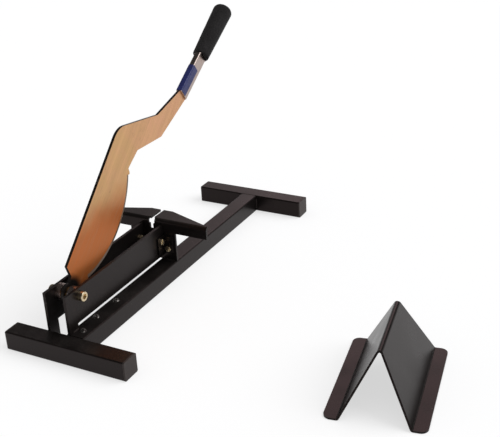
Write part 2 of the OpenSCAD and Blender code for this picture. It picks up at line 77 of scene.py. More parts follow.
MM = 0.001
SLOT_OF = {row["node"]: row["material_slot"] for row in frame["record"]["subparts"]}

# Clean-up of a solid's surface before its edges are rounded
SAME_POINT = 0.002 * MM
FLAT_WITHIN = math.radians(0.3)
ROUND_FROM = math.radians(40)

# Angles from which an edge of a bead or of the foam is shaded sharp
BEAD_SHARP = math.radians(70)
FOAM_SHARP = math.radians(50)


# Settings

def colour(name, description, default):
    """A colour setting, in linear light."""
    return FloatVectorProperty(
        name=name, description=description, default=default, subtype="COLOR", size=3, min=0.0, max=1.0
    )


def length(name, description, default):
    """A length setting, in metres."""
    return FloatProperty(
        name=name, description=description, default=default, min=0.0, unit="LENGTH", precision=5
    )


def station(name, description, default):
    """A place along one axis, in metres on either side of the origin."""
    return FloatProperty(name=name, description=description, default=default, unit="LENGTH", precision=5)


def angle(name, description, degrees):
    """An angle setting, given here in degrees."""
    return FloatProperty(name=name, description=description, default=math.radians(degrees), unit="ROTATION")


def amount(name, description, default):
    """A plain number, such as a share or a strength."""
    return FloatProperty(name=name, description=description, default=default, min=0.0)


class CutterColours(PropertyGroup):
    """Colours of the finishes."""

    paint: colour("Frame paint", "Powder coat of tubes, cheeks, fence and support", (0.0072, 0.0060, 0.0057))
    dust: colour("Dust", "Fine dust on the faces that look up", (0.085, 0.074, 0.068))
    # The paint's gloss is tinted warm: a painted warm reflection
    sheen: colour("Paint sheen", "Tint of the paint's gloss", (1.0, 0.76, 0.74))
    bare: colour("Bare steel", "Steel that shows where the coat is rubbed through", (0.30, 0.285, 0.27))
    cap: colour("End caps", "Plastic of the end caps and the lock ring", (0.0105, 0.0086, 0.0086))
    # Blade tones: the tan face, redder near the heel and along the neck, is a painted warm reflection. The
    # lower tone also gives the tarnish of drawn steel and the patina of bronze.
    blade: colour("Blade, upper", "Ground face of the blade near its shoulder", (0.63, 0.375, 0.175))
    blade_neck: colour("Blade, neck", "Ground face of the blade along its neck", (0.68, 0.365, 0.205))
    blade_low: colour("Blade, lower", "Ground face of the blade near its heel", (0.49, 0.136, 0.030))
    blade_side: colour("Blade sides", "Cut sides of the blade plate", (0.016, 0.012, 0.009))
    ground: colour("Bright marks", "Brightest grinding marks of the blade's face", (0.62, 0.50, 0.38))
    bevel: colour("Cutting bevel", "Ground bevel along the cutting edge", (0.20, 0.125, 0.075))
    steel: colour("Drawn steel", "Handle tube, rivets, sleeve and spacer rings", (0.41, 0.335, 0.305))
    zinc: colour("Zinc plate", "Bolts, nuts and washer", (0.68, 0.55, 0.35))
    zinc_tint: colour("Zinc tint", "Second tone of the passivated zinc", (0.52, 0.44, 0.31))
    # Painted shade: the blade is painted dark round the pivot, where it lies between the cheeks in shade
    painted_shade: colour("Shade", "Dark grease round the pivot", (0.012, 0.010, 0.009))
    bronze: colour("Bronze", "Bush in the blade's eye", (0.52, 0.31, 0.12))
    band: colour("Band", "Plain film round the handle tube", (0.021, 0.027, 0.135))
    foam: colour("Foam", "Foam of the grip", (0.0080, 0.0072, 0.0074))


class CutterEdges(PropertyGroup):
    """Softened edges, rubbed paint and weld beads."""

    plate: length("Plate edges", "Rounding of the cheeks', fence's and support's edges", 0.6 * MM)
    cap: length("Cap edges", "Rounding of the end caps' edges", 0.9 * MM)
    fastener: length("Fastener edges", "Rounding of heads, nuts, rings and washer", 0.22 * MM)
    film: length("Film edges", "Rounding of the band's edges", 0.12 * MM)
    steps: IntProperty(name="Steps", description="Faces across a rounded edge", default=2, min=1, max=6)
    rubbed: amount("Rubbed edges", "How far the coat is rubbed through on the plates' edges", 0.16)
    rubbed_head: amount("Rubbed heads", "How far the coat is rubbed through on the screw heads", 0.24)
    rubbed_rim: amount("Rubbed rims", "How far the coat is rubbed through on the screw heads' rims", 0.36)
    bead: length("Weld radius", "Radius of a weld bead", 2.6 * MM)
    ripple: length("Weld ripple", "Distance between the ripples of a bead", 2.3 * MM)
    leg_weld: length("Leg weld", "Distance from the front foot to the end of the right leg's beads", 20 * MM)


class CutterLever(PropertyGroup):
    """Slopes, tones and foam sizes of the lever."""

    back_slope: angle("Blade slope", "Slope of the blade's straight back, along its grinding marks", 44.8)
    handle_slope: angle("Handle slope", "Slope of the handle tube", 34.0)
    # Where the blade's painted warm reflection turns redder: low on the blade and along its neck
    warm_from: length("Warm tone from", "Height at which the lower tone of the blade is full", 146 * MM)
    warm_to: length("Warm tone to", "Height at which the lower tone of the blade has faded", 212 * MM)
    warm_drift: length("Warm tone drift", "How far clouds shift the lower tone up and down", 50 * MM)
    neck_from: station("Neck tone from", "Place along the base at which the neck's tone starts", -70 * MM)
    neck_to: station("Neck tone to", "Place along the base from which the neck's tone is full", 20 * MM)
    neck_drift: length("Neck tone drift", "How far clouds shift the neck's tone along the base", 60 * MM)
    # Reach of the painted shade round the pivot
    shade_radius: length("Shaded", "Radius round the pivot that is dark with grease", 26 * MM)
    shade_fade: length("Grease fade", "Width over which the grease fades out", 14 * MM)
    shade_drift: length("Grease drift", "How far clouds draw in the grease's edge", 12 * MM)
    mouth_size: length("Grip mouth", "Diameter of the grip at its open end", 30 * MM)
    crown_size: length("Grip end", "Diameter of the grip at its closed end", 35.5 * MM)
    lip: length("Grip lip", "Rounding of the grip's open end", 2.5 * MM)
    crown_round: length("Grip rounding", "Rounding of the grip's closed end", 9 * MM)
    tube_corner: length("Tube corner", "Rounding of the handle tube's long edges", 2.5 * MM)
    mouth_gap: length("Mouth gap", "Gap between the foam's mouth and the tube", 0.5 * MM)
    mouth_depth: length("Mouth depth", "Depth of foam shown inside the mouth", 14 * MM)
    mouth_chamfer: length("Mouth chamfer", "Chamfer round the inside of the foam's mouth", 0.8 * MM)
    unevenness: length("Unevenness", "Height of the foam's soft unevenness", 0.22 * MM)


class CutterStage(PropertyGroup):
    """Floor, light and camera."""

    floor: colour("Floor", "Colour of the pale floor", (0.42, 0.42, 0.424))
    floor_size: length("Floor size", "Width of the floor", 30.0)
    floor_drop: length("Floor drop", "Gap under the feet, which keeps their faces off the floor's", 0.2 * MM)
    lift: amount("Floor lift", "Light added to the floor as it is seen", 0.63)
    ambient: amount("Ambient", "Strength of the even light from all round", 0.5)
    ceiling: amount("Ceiling", "Brightness of the mirrored room overhead", 0.06)
    bright_to: angle("Bright to", "Height up to which the mirrored room is white", 6.0)
    dark_from: angle("Dark from", "Height from which the mirrored room is as dark as its ceiling", 15.0)
    lamp: amount("Round lamp", "Brightness of the mirrored round lamp", 1.9)
    lamp_tint: colour("Round lamp tint", "Colour of the mirrored round lamp", (1.0, 0.75, 0.77))
    lamp_turn: angle("Round lamp turn", "Turn of the mirrored round lamp to the left of straight on", 18.0)
    lamp_height: angle("Round lamp height", "Height of the mirrored round lamp", 35.0)
    lamp_core: angle("Round lamp core", "Half width of the lamp's full brightness", 8.0)
    lamp_rim: angle("Round lamp rim", "Half width at which the lamp has faded", 20.0)
    key: amount("Key light", "Strength of the wide light from the right", 1.7)
    key_width: angle("Key width", "Width of the wide light, as an angle", 50.0)
    key_from: FloatVectorProperty(
        name="Key direction", description="Direction that the wide light comes from",
        default=(0.75, 0.35, 0.85), subtype="XYZ",
    )
    camera_at: FloatVectorProperty(
        name="Camera", description="Place of the camera",
        default=(0.83407, -1.23301, 0.79208), subtype="XYZ", unit="LENGTH",
    )
    camera_turn: angle("Turn", "Turn of the camera to the left of straight on", 28.82)
    camera_dip: angle("Dip", "Dip of the camera below level", 25.15)
    camera_roll: angle("Roll", "Roll of the camera", -3.07)
    lens: FloatProperty(
        name="Lens", description="Focal length for the sensor's width", default=68.81, unit="CAMERA"
    )
    sensor: FloatProperty(
        name="Sensor", description="Width of the camera's sensor", default=36.0, unit="CAMERA"
    )


# Shader nodes

class Wire:
    """A node socket in Python expressions: each operator adds one Math node."""

    def __init__(self, nodes, socket):
        self.nodes = nodes
        self.socket = socket

    def maths(self, operation, *values):
        return self.nodes.add("ShaderNodeMath", {"operation": operation}, dict(enumerate(values)))

    def __add__(self, other):
        return self.maths("ADD", self, other)

    def __sub__(self, other):
        return self.maths("SUBTRACT", self, other)

    def __rsub__(self, other):
        return self.maths("SUBTRACT", other, self)

    def __mul__(self, other):
        return self.maths("MULTIPLY", self, other)

    def __abs__(self):
        return self.maths("ABSOLUTE", self)

    def either(self, other):
        """The larger of two values."""
        return self.maths("MAXIMUM", self, other)

    __radd__ = __add__
    __rmul__ = __mul__


class Nodes:
    """A node tree that finishes are written in."""

    def __init__(self, tree):
        self.tree = tree
        tree.nodes.clear()

    def add(self, kind, settings=None, sockets=None, out=0):
        """Adds a node with its settings, then the values or links of its sockets."""
        node = self.tree.nodes.new(kind)
        for name, value in (settings or {}).items():
            setattr(node, name, value)
        for key, value in (sockets or {}).items():
            if isinstance(value, Wire):
                self.tree.links.new(value.socket, node.inputs[key])
            else:
                node.inputs[key].default_value = value
        return Wire(self, node.outputs[out]) if node.outputs else node

    def place(self, turn=(0.0, 0.0, 0.0), stretch=(1.0, 1.0, 1.0)):
        """The place on the object, turned and then stretched."""
        at = self.add("ShaderNodeTexCoord", out="Object")
        turned = self.add("ShaderNodeMapping", {}, {"Vector": at, "Rotation": turn})
        return self.add("ShaderNodeMapping", {}, {"Vector": turned, "Scale": stretch})

    def coordinate(self, axis):
        """One coordinate of the place on the object."""
        return self.add("ShaderNodeSeparateXYZ", {}, {0: self.place()}, out=axis)

    def direction(self, axis):
        """One part of the surface's own direction, on the object."""
        normal = self.add("ShaderNodeTexCoord", out="Normal")
        return self.add("ShaderNodeSeparateXYZ", {}, {0: normal}, out=axis)

    def distance(self, point):
        """Distance of the surface from a point of the object."""
        sockets = {0: self.place(), 1: point}
        return self.add("ShaderNodeVectorMath", {"operation": "DISTANCE"}, sockets, out="Value")

    def noise(self, size, place=None, detail=2.0, roughness=0.5):
        """Soft noise whose grains are about one size across."""
        sockets = {"Vector": place or self.place(), "Scale": 1.0 / size}
        sockets.update({"Detail": detail, "Roughness": roughness})
        return self.add("ShaderNodeTexNoise", {}, sockets)

    def grain(self, per_metre, slope=0.0, detail=2.0, roughness=0.5):
        """Noise drawn out along a slope, with its own number of grains per metre on each axis."""
        return self.noise(1.0, self.place((-slope, 0.0, 0.0), per_metre), detail, roughness)

    def cells(self, size):
        """Distance to the nearest cell's middle, for cells of one size."""
        return self.add("ShaderNodeTexVoronoi", {}, {"Vector": self.place(), "Scale": 1.0 / size})

    def ramp(self, value, low, high):
        """Zero at low, one at high, and smooth between."""
        settings = {"interpolation_type": "SMOOTHSTEP"}
        return self.add("ShaderNodeMapRange", settings, {"Value": value, "From Min": low, "From Max": high})

    def mix(self, share, first, second):
        """A colour between two."""
        sockets = {0: share, 6: full(first), 7: full(second)}
        return self.add("ShaderNodeMix", {"data_type": "RGBA"}, sockets, out=2)

    def bump(self, height, depth, under=None):
        """A bumped direction, one depth high, on top of another."""
        sockets = {"Height": height, "Distance": depth, "Strength": 1.0}
        if under:
            sockets["Normal"] = under
        return self.add("ShaderNodeBump", {}, sockets)


def full(value):
    """A colour with its fourth part, or a link as it is."""
    return value if isinstance(value, Wire) else (*value, 1.0)


def scaled(tone, share):
    """A colour made darker or lighter."""
    return [share * part for part in tone]


# Finishes

def finish(name, build, *values):
    """A material made once by its function, which gives the shader's sockets."""
    made = bpy.data.materials.get(name)
    if made:
        return made
    made = bpy.data.materials.new(name)
    made.use_nodes = True
    nodes = Nodes(made.node_tree)
    shader = nodes.add("ShaderNodeBsdfPrincipled", {}, build(nodes, *values))
    nodes.add("ShaderNodeOutputMaterial", {}, {"Surface": shader})
    return made


def powder_coat(nodes, colours, rubbed):
    """Black powder coat: fine orange peel, uneven gloss, dust, and bare steel where it is rubbed through."""
    wear_fade = 0.18
    peel = nodes.noise(1.1 * MM)
    film = nodes.noise(45 * MM, detail=3.0)
    specks = nodes.noise(2.6 * MM, detail=3.0, roughness=0.7)
    up = nodes.ramp(nodes.direction("Z"), 0.6, 1.0)
    dust = up * nodes.ramp(film, 0.42, 0.75) * nodes.ramp(specks, 0.35, 0.8)
    base = nodes.mix(0.35 * dust, colours.paint, colours.dust)
    worn = nodes.ramp(specks + 0.5 * film, 1.0 - rubbed, 1.0 - rubbed + wear_fade)
    return {
        "Base Color": nodes.mix(worn, base, colours.bare),
        "Metallic": 0.9 * worn,
        "Roughness": 0.23 + 0.12 * film + 0.2 * dust,
        "Specular IOR Level": 0.18,
        # Gloss tinted warm: a painted warm reflection
        "Specular Tint": full(colours.sheen),
        "Normal": nodes.bump(peel, 0.03 * MM),
    }


def grained_plastic(nodes, colours):
    """Moulded plastic with a fine leather-like grain."""
    grain = nodes.cells(0.8 * MM)
    film = nodes.noise(30 * MM)
    return {
        "Base Color": nodes.mix(0.5 * film, colours.cap, colours.dust),
        "Roughness": 0.4 + 0.12 * film,
        "Specular IOR Level": 0.26,
        # Gloss tinted warm: a painted warm reflection
        "Specular Tint": full(colours.sheen),
        "Normal": nodes.bump(grain, 0.04 * MM),
    }


def ground_blade(nodes, colours, lever, pivot):
    """Ground steel: marks along the blade, dark cut sides, a darker cutting bevel, tan tones that are a
    painted warm reflection, and painted shade round the pivot.
    """
    # Grains per metre through the plate, along its back and across it
    fine_grain = (1500, 14, 1500)
    broad_grain = (60, 4, 95)
    dash_grain = (1100, 60, 1000)
    marks = nodes.grain(fine_grain, lever.back_slope, detail=3.0, roughness=0.65)
    long_marks = nodes.grain(broad_grain, lever.back_slope)
    dashes = nodes.grain(dash_grain, lever.back_slope, detail=1.0)
    cloud = nodes.noise(55 * MM, detail=3.0)
    blotch = nodes.ramp(nodes.noise(26 * MM, detail=3.0, roughness=0.6), 0.42, 0.62)

    # Painted warm reflection: tan tones, redder low on the blade and along its neck
    drift = cloud - 0.5
    upper = nodes.ramp(nodes.coordinate("Z") + lever.warm_drift * drift, lever.warm_from, lever.warm_to)
    rosy = nodes.ramp(nodes.coordinate("Y") + lever.neck_drift * drift, lever.neck_from, lever.neck_to)
    high = nodes.mix(0.65 * rosy + 0.35 * blotch, colours.blade, colours.blade_neck)
    face = nodes.mix(upper, colours.blade_low, high)

    streak = nodes.ramp(marks + 0.6 * long_marks, 0.55, 1.05)
    scratch = nodes.ramp(dashes, 0.65, 0.70) * nodes.ramp(cloud, 0.42, 0.62)
    bright = nodes.ramp(marks, 0.55, 0.85) * nodes.ramp(long_marks, 0.35, 0.65)
    shaded = nodes.mix(0.26 * streak + 0.5 * scratch, face, scaled(colours.blade, 0.45))
    toned = nodes.mix(0.5 * bright, shaded, colours.ground)

    sideways = abs(nodes.direction("X"))
    flat = nodes.ramp(sideways, 0.972, 0.99)
    cut = nodes.ramp(sideways, 0.75, 0.45)
    body = nodes.mix(cut, nodes.mix(flat, colours.bevel, toned), colours.blade_side)
    # Painted shade round the pivot, between the cheeks
    shade_distance = nodes.distance(pivot) + lever.shade_drift * cloud
    in_shade = nodes.ramp(shade_distance, lever.shade_radius + lever.shade_fade, lever.shade_radius)
    return {
        "Base Color": nodes.mix(in_shade, body, colours.painted_shade),
        "Metallic": 0.9 - 0.5 * cut - 0.4 * (1.0 - upper),
        "Specular IOR Level": 0.2,
        "Roughness": 0.29 + 0.1 * streak + 0.1 * cloud,
        "Normal": nodes.bump(marks - 0.6 * scratch, 0.014 * MM),
    }


def drawn_steel(nodes, colours, slope):
    """Bright drawn steel with fine lines along its length and a little tarnish."""
    drawn_grain = (1100, 12, 1100)
    lines = nodes.grain(drawn_grain, slope)
    tarnish = nodes.ramp(nodes.noise(14 * MM, detail=4.0, roughness=0.65), 0.5, 0.8)
    return {
        "Base Color": nodes.mix(0.4 * tarnish, colours.steel, colours.blade_low),
        "Metallic": 1.0,
        "Roughness": 0.2 + 0.14 * lines + 0.15 * tarnish,
        "Normal": nodes.bump(lines, 0.01 * MM),
    }


def yellow_zinc(nodes, colours):
    """Yellow passivated zinc: shifting tones, dull specks."""
    shift = nodes.ramp(nodes.noise(7 * MM, detail=3.0), 0.3, 0.75)
    specks = nodes.ramp(nodes.noise(0.7 * MM), 0.6, 0.78)
    plating = nodes.mix(shift, colours.zinc, colours.zinc_tint)
    return {
        "Base Color": nodes.mix(0.4 * specks, plating, colours.bare),
        "Metallic": 1.0,
        "Roughness": 0.25 + 0.1 * shift + 0.2 * specks,
        "Normal": nodes.bump(specks, 0.01 * MM),
    }


def turned_bronze(nodes, colours):
    """Bronze with turning marks round the pivot and a darker patina."""
    turned_grain = (2500, 30, 30)
    rings = nodes.grain(turned_grain, detail=1.0)
    patina = nodes.ramp(nodes.noise(5 * MM, detail=3.0), 0.45, 0.75)
    return {
        "Base Color": nodes.mix(0.6 * patina, colours.bronze, colours.blade_low),
        "Metallic": 1.0,
        "Roughness": 0.28 + 0.2 * patina + 0.08 * rings,
        "Normal": nodes.bump(rings, 0.01 * MM),
    }


def blue_film(nodes, colours, slope):
    """Plain film: a little lift and cloud, and a soft gloss."""
    wrinkle_grain = (300, 60, 300)
    cloud = nodes.noise(9 * MM, detail=3.0)
    wrinkle = nodes.grain(wrinkle_grain, slope)
    return {
        "Base Color": nodes.mix(0.6 * nodes.ramp(cloud, 0.35, 0.8), colours.band, scaled(colours.band, 0.45)),
        "Roughness": 0.3 + 0.15 * cloud,
        "Specular IOR Level": 0.35,
        "Normal": nodes.bump(wrinkle, 0.12 * MM),
    }


def pored_foam(nodes, colours):
    """Closed-cell foam: open pores on a matt skin, greyer where it is handled."""
    pores = nodes.cells(0.9 * MM)
    coarse = nodes.noise(2.6 * MM, detail=4.0, roughness=0.65)
    handled = nodes.ramp(nodes.noise(30 * MM), 0.4, 0.7)
    pitted = nodes.ramp(pores, 0.2, 0.65) * nodes.ramp(coarse, 0.3, 0.65)
    return {
        "Base Color": nodes.mix(0.7 * pitted + 0.15 * handled, colours.foam, scaled(colours.foam, 3.2)),
        "Roughness": 0.86 - 0.1 * handled,
        "Specular IOR Level": 0.2,
        "Sheen Weight": 0.04,
        "Sheen Roughness": 0.5,
        "Normal": nodes.bump(pores, 0.3 * MM, nodes.bump(coarse, 0.35 * MM)),
    }


def paint(colours, edges):
    """The powder coat, and the same coat rubbed through on edges."""
    coat = finish("powder_coat", powder_coat, colours, 0.0)
    rubbed = finish("rubbed_edge", powder_coat, colours, edges.rubbed)
    return coat, rubbed


# Shapes

def cad(node):
    """A CAD node's object, or an error if the frame lacks it."""
    if node not in frame["nodes"]:
        raise RuntimeError(f"the frame has no node named {node}")
    return frame["nodes"][node]


def middle(node):
    """Middle of a CAD node's box."""
    low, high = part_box(node)
    return (low + high) / 2


def span(node, origin, direction):
    """Lowest and highest place of a CAD node along a direction."""
    places = [(vertex.co - origin).dot(direction) for vertex in cad(node).data.vertices]
    return min(places), max(places)


def dress(node, made):
    """Gives a finish to a CAD node that stays as it is."""
    piece = cad(node)
    piece.data.materials.clear()
    piece.data.materials.append(made)


def add_piece(name, shape, body, slot, *finishes):
    """Turns a bmesh into a piece that rides on a body."""
    mesh = bpy.data.meshes.new(name)
    shape.normal_update()
    shape.to_mesh(mesh)
    shape.free()
    for made in finishes:
        mesh.materials.append(made)
    piece = bpy.data.objects.new(name, mesh)
    bpy.context.scene.collection.objects.link(piece)
    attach(piece, body)
    return piece


def soften(node, width, steps, *finishes):
    """Stands for a CAD node with the same surface and rounded edges; the edges take the last finish."""
    source = cad(node)
    shape = bmesh.new()
    shape.from_mesh(source.data)
    bmesh.ops.remove_doubles(shape, verts=shape.verts, dist=SAME_POINT)
    bmesh.ops.dissolve_limit(shape, angle_limit=FLAT_WITHIN, verts=shape.verts, edges=shape.edges)
    for face in shape.faces:
        face.smooth = True
        face.material_index = 0
    piece = add_piece(f"{node}_finished", shape, source["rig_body"], SLOT_OF[node], *finishes)
    rounding = piece.modifiers.new("edges", "BEVEL")
    rounding.width = width
    rounding.segments = steps
    rounding.limit_method = "ANGLE"
    rounding.angle_limit = ROUND_FROM
    rounding.material = len(finishes) - 1
    even = piece.modifiers.new("even shading", "WEIGHTED_NORMAL")
    even.weight = 100
    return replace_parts(piece, node)


def smooth(shape, sharp_from):
    """Smooth faces, with the edges of real corners left sharp."""
    for face in shape.faces:
        face.smooth = True
    for edge in shape.edges:
        edge.smooth = edge.is_manifold and edge.calc_face_angle() < sharp_from


def skin(shape, rings):
    """Faces between neighbouring rings of points, and one face over each end."""
    for lower, upper in zip(rings, rings[1:]):
        for k in range(len(lower)):
            n = (k + 1) % len(lower)
            shape.faces.new((lower[k], lower[n], upper[n], upper[k]))
    shape.faces.new(list(reversed(rings[0])))
    shape.faces.new(rings[-1])


def weld_bead(shape, start, end, out, radius, ripple):
    """A rippled bead from start to end in a corner whose open side looks out."""
    sides = 14
    rings_per_ripple = 6
    fewest_rings = 8
    # Shares of the radius: height of a ripple, uneven width, and what is left at the very end
    hump = 0.16
    waver = 0.08
    end_left = 0.12
    # Share of a ripple by which its middle runs ahead, and the pace and spread of the uneven width
    bow_share = 0.5
    waver_pace = 0.7
    waver_spread = 100

    line = end - start
    forward = line.normalized()
    out = out.normalized()
    across = forward.cross(out)
    count = max(fewest_rings, round(line.length / ripple * rings_per_ripple))
    rings = []
    for i in range(count + 1):
        along = line.length * i / count
        phase = (along / ripple) % 1.0
        from_end = min(along, line.length - along)
        round_off = math.sqrt(max(0.0, 1 - (1 - min(1.0, from_end / radius)) ** 2))
        own = Vector((along / ripple * waver_pace, start.x * waver_spread, start.y * waver_spread))
        width = radius * (1 + waver * noise.noise(own))
        swell = width * (1 - hump + hump * math.sin(math.pi * phase)) * max(end_left, round_off)
        ring = []
        for k in range(sides):
            turn = 2 * math.pi * k / sides
            bow = bow_share * ripple * math.cos(turn) * min(1.0, from_end / ripple)
            rim = swell * (math.cos(turn) * out + math.sin(turn) * across)
            ring.append(shape.verts.new(start + forward * (along + bow) + rim))
        rings.append(ring)
    skin(shape, rings)


def arc_points(middle_at, radius, first, last, steps):
    """Points (along, out) on an arc, in degrees from the outward direction."""
    turns = [math.radians(first + (last - first) * i / steps) for i in range(steps + 1)]
    return [(middle_at[0] + radius * math.sin(t), middle_at[1] + radius * math.cos(t)) for t in turns]


def grip_outline(lever, size):
    """Points (along, out) of the grip's outline, from its mouth to its flat end."""
    lip_steps = 6
    body_steps = 40
    crown_steps = 12
    mouth = lever.mouth_size / 2 - lever.unevenness
    crown = lever.crown_size / 2 - lever.unevenness
    straight = size - lever.lip - lever.crown_round
    points = arc_points((lever.lip, mouth - lever.lip), lever.lip, -90, 0, lip_steps)
    for i in range(1, body_steps):
        share = i / body_steps
        points.append((lever.lip + share * straight, mouth + share * (crown - mouth)))
    rounded = (size - lever.crown_round, crown - lever.crown_round)
    return points + arc_points(rounded, lever.crown_round, 0, 90, crown_steps)


def foam_swell(along, turn):
    """The foam's soft unevenness at a place on the grip, from minus one to one."""
    lumps_per_metre = 55
    lump_circle = 2.2
    at = (along * lumps_per_metre, lump_circle * math.cos(turn), lump_circle * math.sin(turn))
    return noise.noise(Vector(at))


def mouth_radius(turn, half_deep, half_wide, corner):
    """Distance from the middle of a rounded rectangle to its edge, in one direction."""
    tiny = 1e-9
    c = max(tiny, abs(math.cos(turn)))
    s = max(tiny, abs(math.sin(turn)))
    reach = min(half_deep / c, half_wide / s)
    mid = Vector((half_deep - corner, half_wide - corner))
    if reach * c > mid.x and reach * s > mid.y:
        ahead = mid.x * c + mid.y * s
        reach = ahead + math.sqrt(max(0.0, ahead ** 2 - mid.length_squared + corner ** 2))
    return reach


def shared(context):
    """The settings, in the order colours, edges, lever, stage."""
    scene = context.scene
    return scene.cutter_colours, scene.cutter_edges, scene.cutter_lever, scene.cutter_stage


# Pieces

class CUTTER_OT_base_tubes(Operator):
    """Paint the two feet and the spine"""

    bl_idname = "cutter.base_tubes"
    bl_label = "Base tubes"

    def execute(self, context):
        colours, edges, _, _ = shared(context)
        coat, _ = paint(colours, edges)
        for node in ("front_foot", "rear_foot", "spine"):
            dress(node, coat)
        return {"FINISHED"}


class CUTTER_OT_end_caps(Operator):
    """Round and grain the end caps of the feet"""

    bl_idname = "cutter.end_caps"
    bl_label = "End caps"

    def execute(self, context):
        colours, edges, _, _ = shared(context)
        plastic = finish("grained_plastic", grained_plastic, colours)
        soften("foot_end_caps", edges.cap, edges.steps + 1, plastic)
        return {"FINISHED"}


class CUTTER_OT_plates(Operator):
    """Paint and round the cheeks, the fence and its brackets"""

    bl_idname = "cutter.plates"
    bl_label = "Cheeks and fence"

    def execute(self, context):
        colours, edges, _, _ = shared(context)
        for node in ("left_cheek", "right_cheek", "fence", "left_bracket", "right_bracket"):
            soften(node, edges.plate, edges.steps, *paint(colours, edges))
        return {"FINISHED"}


class CUTTER_OT_welds(Operator):
    """Lay the painted weld beads of the base"""

    bl_idname = "cutter.welds"
    bl_label = "Weld beads"

    def execute(self, context):
        colours, edges, _, _ = shared(context)
        spine_low, spine_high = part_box("spine")
        margin = 2 * edges.bead
        shape = bmesh.new()

        def lay(start, end, out):
            weld_bead(shape, Vector(start), Vector(end), Vector(out), edges.bead, edges.ripple)

        # Upright beads where the spine meets the feet
        for x, side in ((spine_low.x, -1), (spine_high.x, 1)):
            for y, way in ((spine_low.y, 1), (spine_high.y, -1)):
                lay((x, y, margin), (x, y, spine_high.z - margin), (side, way, 0))

        # A bead where the fence's web stands on the spine
        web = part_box("fence")[0]
        lay((spine_low.x + margin, web.y, web.z), (spine_high.x - margin, web.y, web.z), (0, -1, 1))

        # Beads on both sides of the right leg's foot
        leg_low, leg_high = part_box("right_cheek")
        leg_back = spine_low.y + edges.leg_weld
        for x, side in ((leg_low.x, -1), (leg_high.x, 1)):
            lay((x, spine_low.y + margin, leg_low.z), (x, leg_back, leg_low.z), (side, 0, 1))

        # Upright beads where the left leg meets the front foot
        left_low, left_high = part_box("left_cheek")
        for x, side in ((left_low.x, -1), (left_high.x, 1)):
            lay((x, left_low.y, left_low.z + margin), (x, left_low.y, spine_high.z - margin), (side, 1, 0))

        smooth(shape, BEAD_SHARP)
        coat, _ = paint(colours, edges)
        add_piece("weld_beads", shape, "frame", "frame_paint", coat)
        return {"FINISHED"}


class CUTTER_OT_fasteners(Operator):
    """Plate the bolts, nuts and washer, and paint the worn spine screws"""

    bl_idname = "cutter.fasteners"
    bl_label = "Fasteners"

    def execute(self, context):
        colours, edges, _, _ = shared(context)
        plated = finish("yellow_zinc", yellow_zinc, colours)
        for node in ("pivot_bolt", "pivot_nut", "pivot_washer", "bracket_bolts", "bracket_nuts"):
            soften(node, edges.fastener, edges.steps, plated)
        head = finish("worn_head", powder_coat, colours, edges.rubbed_head)
        rim = finish("worn_rim", powder_coat, colours, edges.rubbed_rim)
        soften("spine_screws", edges.fastener, edges.steps, head, rim)
        dress("lock_ring", finish("grained_plastic", grained_plastic, colours))
        return {"FINISHED"}


class CUTTER_OT_pivot_bearing(Operator):
    """Finish the sleeve, spacer rings and bush on the pivot"""

    bl_idname = "cutter.pivot_bearing"
    bl_label = "Pivot bearing"

    def execute(self, context):
        colours, edges, _, _ = shared(context)
        level = 0.0
        turned = finish("turned_steel", drawn_steel, colours, level)
        dress("pivot_sleeve", turned)
        soften("spacer_rings", edges.fastener, edges.steps, turned)
        soften("blade_bush", edges.fastener, edges.steps, finish("turned_bronze", turned_bronze, colours))
        return {"FINISHED"}


class CUTTER_OT_blade(Operator):
    """Grind and tint the blade"""

    bl_idname = "cutter.blade"
    bl_label = "Blade"

    def execute(self, context):
        colours, _, lever, _ = shared(context)
        dress("blade", finish("ground_blade", ground_blade, colours, lever, middle("blade_bush")))
        return {"FINISHED"}


class CUTTER_OT_handle(Operator):
    """Finish the handle tube, its rivets and the plain band"""

    bl_idname = "cutter.handle"
    bl_label = "Handle tube and band"

    def execute(self, context):
        colours, edges, lever, _ = shared(context)
        drawn = finish("drawn_steel", drawn_steel, colours, lever.handle_slope)
        dress("handle_tube", drawn)
        dress("handle_rivets", drawn)
        film = finish("blue_film", blue_film, colours, lever.handle_slope)
        soften("label_band", edges.film, edges.steps, film)
        return {"FINISHED"}


class CUTTER_OT_grip(Operator):
    """Form the foam grip round the handle tube"""

    bl_idname = "cutter.grip"
    bl_label = "Foam grip"

    def execute(self, context):
        colours, _, lever, _ = shared(context)
        around = 96
        turns = [2 * math.pi * k / around for k in range(around)]
        forward = Vector((0.0, math.cos(lever.handle_slope), math.sin(lever.handle_slope)))
        up = Vector((0.0, -forward.z, forward.y))
        across = Vector((1.0, 0.0, 0.0))
        origin = middle("handle_tube")
        start, end = span("grip", origin, forward)
        shape = bmesh.new()

        def ring(along, reaches):
            at = origin + forward * (start + along)
            ways = [math.cos(turn) * up + math.sin(turn) * across for turn in turns]
            return [shape.verts.new(at + reach * way) for reach, way in zip(reaches, ways)]

        # The mouth's inside, close round the tube
        half_deep = span("handle_tube", origin, up)[1] + lever.mouth_gap
        half_wide = span("handle_tube", origin, across)[1] + lever.mouth_gap
        corner = lever.tube_corner + lever.mouth_gap
        inside = [mouth_radius(turn, half_deep, half_wide, corner) for turn in turns]
        rings = [ring(lever.mouth_depth, inside), ring(lever.mouth_chamfer, inside)]
        rings.append(ring(0.0, [reach + lever.mouth_chamfer for reach in inside]))

        # The outside, from the lip to the closed end
        for along, reach in grip_outline(lever, end - start):
            rings.append(ring(along, [reach + lever.unevenness * foam_swell(along, turn) for turn in turns]))
        skin(shape, rings)
        bmesh.ops.recalc_face_normals(shape, faces=shape.faces)
        smooth(shape, FOAM_SHARP)
        grip = add_piece("foam_grip", shape, "lever", "grip_foam", finish("pored_foam", pored_foam, colours))
        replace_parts(grip, "grip")
        return {"FINISHED"}


class CUTTER_OT_board_support(Operator):
    """Paint and round the folded board support"""

    bl_idname = "cutter.board_support"
    bl_label = "Board support"

    def execute(self, context):
        colours, edges, _, _ = shared(context)
        soften("board_support", edges.plate, edges.steps, *paint(colours, edges))
        return {"FINISHED"}


